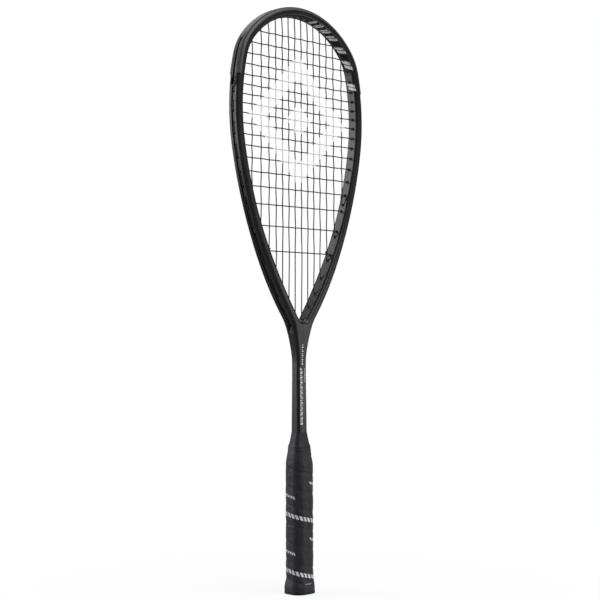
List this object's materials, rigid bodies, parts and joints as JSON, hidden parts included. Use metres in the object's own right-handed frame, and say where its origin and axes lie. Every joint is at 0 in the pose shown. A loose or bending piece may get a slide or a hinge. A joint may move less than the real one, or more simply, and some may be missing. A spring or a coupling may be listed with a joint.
{
  "type": "squash racket",
  "caption": "Squash racket with a teardrop carbon head, open string bed, crown bumper, slim round-cornered shaft and a flared cushioned grip.",
  "frame": {"origin": "centre of the butt cap's end face", "axes": "+Z along the shaft from the butt to the crown, +X across the head in the plane of the strings, +Y out of the back of the string bed"},
  "size_m": [0.2065, 0.0308, 0.686],
  "materials": {
    "carbon": "satin clear coat over a fine carbon weave",
    "nylon": "matte moulded nylon",
    "string": "smooth black multifilament string",
    "foam": "matte moulded foam",
    "grip": "matte tacky cushioned tape with small dimples",
    "tape": "smooth vinyl tape",
    "collar": "matte rubber",
    "steel": "plain bright wire"
  },
  "bodies": {
    "root": {"frame": "carbon", "bumper_guard": "nylon", "grommet_strip_left": "nylon", "grommet_strip_right": "nylon", "throat_grommet_left": "nylon", "throat_grommet_right": "nylon", "main_string": "string", "cross_string": "string", "string_knots": "string", "handle_core": "foam", "butt_cap": "nylon", "butt_cap_staples": "steel", "grip_tape": "grip", "grip_tack": "steel", "finishing_tape": "tape", "grip_collar": "collar"}
  },
  "joints": []
}
